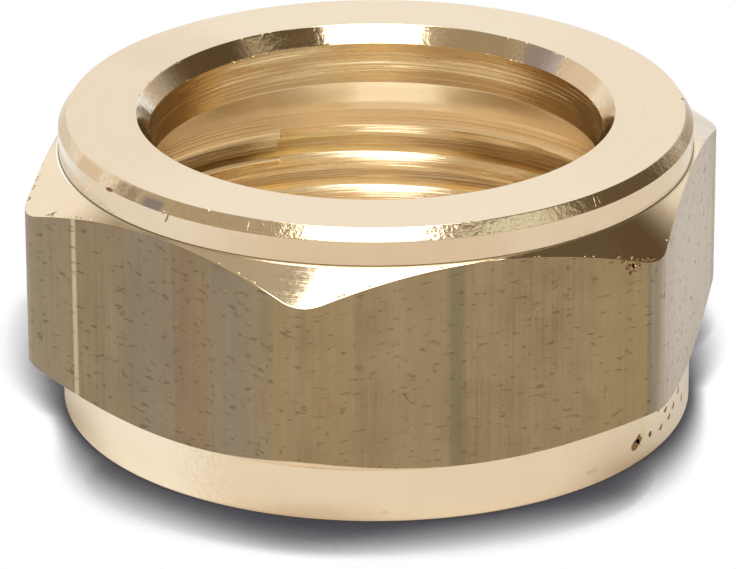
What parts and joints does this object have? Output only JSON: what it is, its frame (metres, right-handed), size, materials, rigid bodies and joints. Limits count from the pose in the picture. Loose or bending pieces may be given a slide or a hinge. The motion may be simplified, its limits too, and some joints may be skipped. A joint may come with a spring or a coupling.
{
  "type": "compression nut",
  "caption": "Hexagonal brass compression nut with a short round collar, a round boss, scalloped chamfers, a tube bore, a cone seat and an internal thread.",
  "frame": {"origin": "centre of the flat end of the boss that the thread opens through, which the nut stands on", "axes": "+Z along the nut's axis, towards the collar that the tube comes out of; two flats face -Y and +Y, and two corners lie on -X and +X"},
  "size_m": [0.0364, 0.032, 0.0154],
  "materials": {
    "turned_brass": "satin turned faces, duller drawn flats"
  },
  "bodies": {
    "root": {"compression_nut": "turned_brass"}
  },
  "joints": []
}
